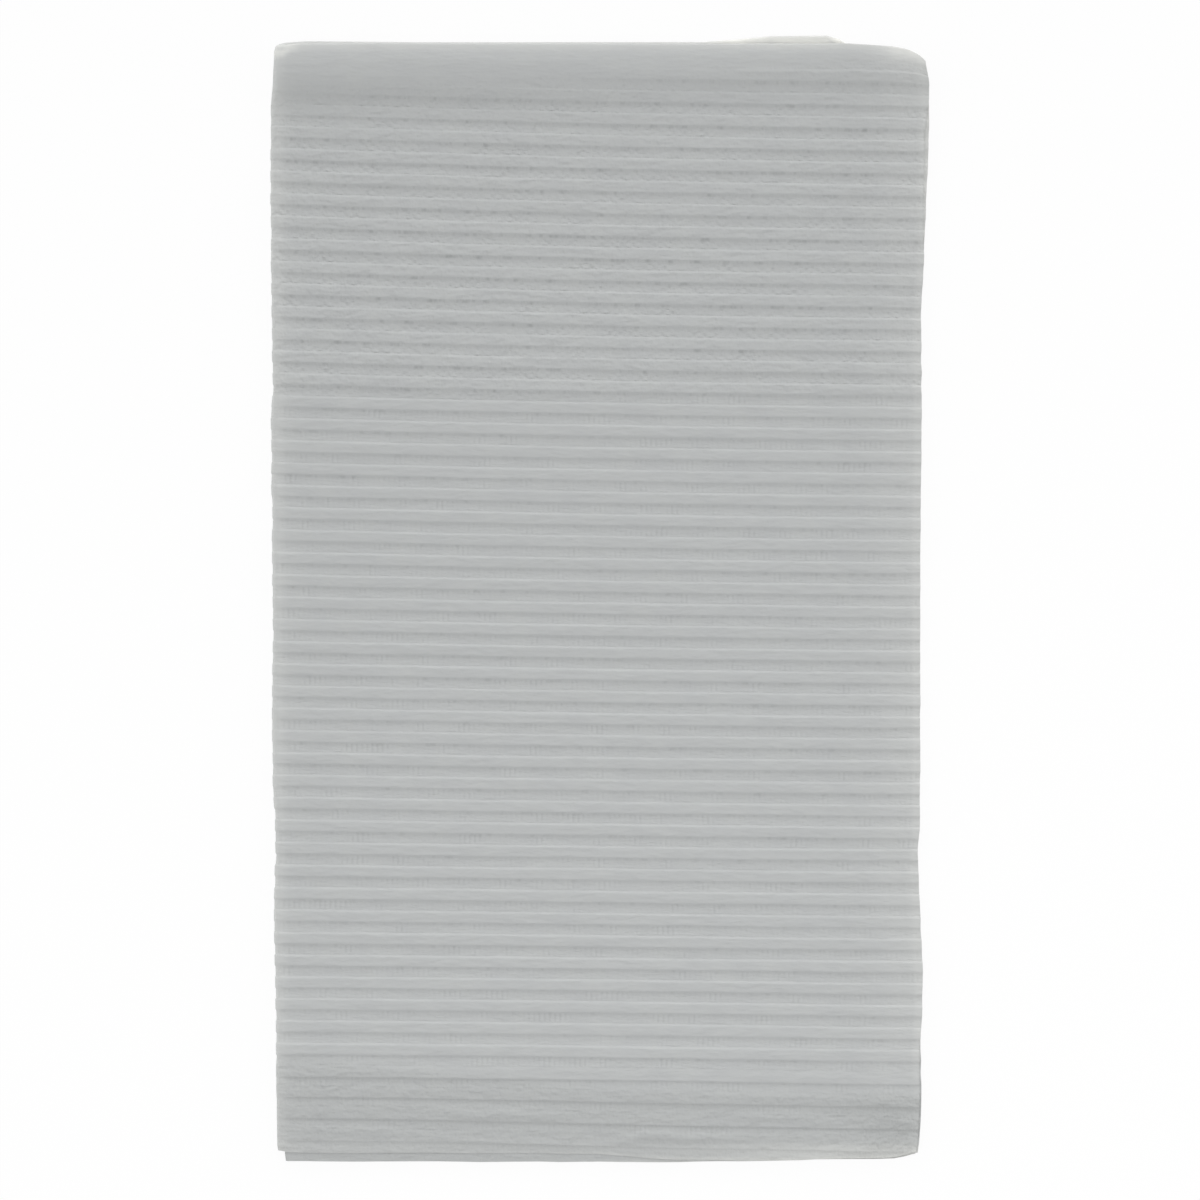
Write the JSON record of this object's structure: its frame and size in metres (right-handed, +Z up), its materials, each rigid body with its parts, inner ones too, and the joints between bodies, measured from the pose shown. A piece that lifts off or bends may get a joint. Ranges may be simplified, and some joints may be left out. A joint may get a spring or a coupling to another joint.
{
  "type": "disposable patient towel",
  "caption": "Ribbed, embossed tissue towel for patient care, folded in quarters and lying flat.",
  "frame": {"origin": "on the surface the towel lies on, under the middle of its outline", "axes": "+X across the packet from the left fold to the cut edges, +Y along it towards the top fold, +Z up out of the surface"},
  "size_m": [0.194, 0.33, 0.0056],
  "materials": {
    "embossed_tissue": "matte white embossed tissue with fine crepe"
  },
  "bodies": {
    "root": {"patient_towel": "embossed_tissue"}
  },
  "joints": []
}
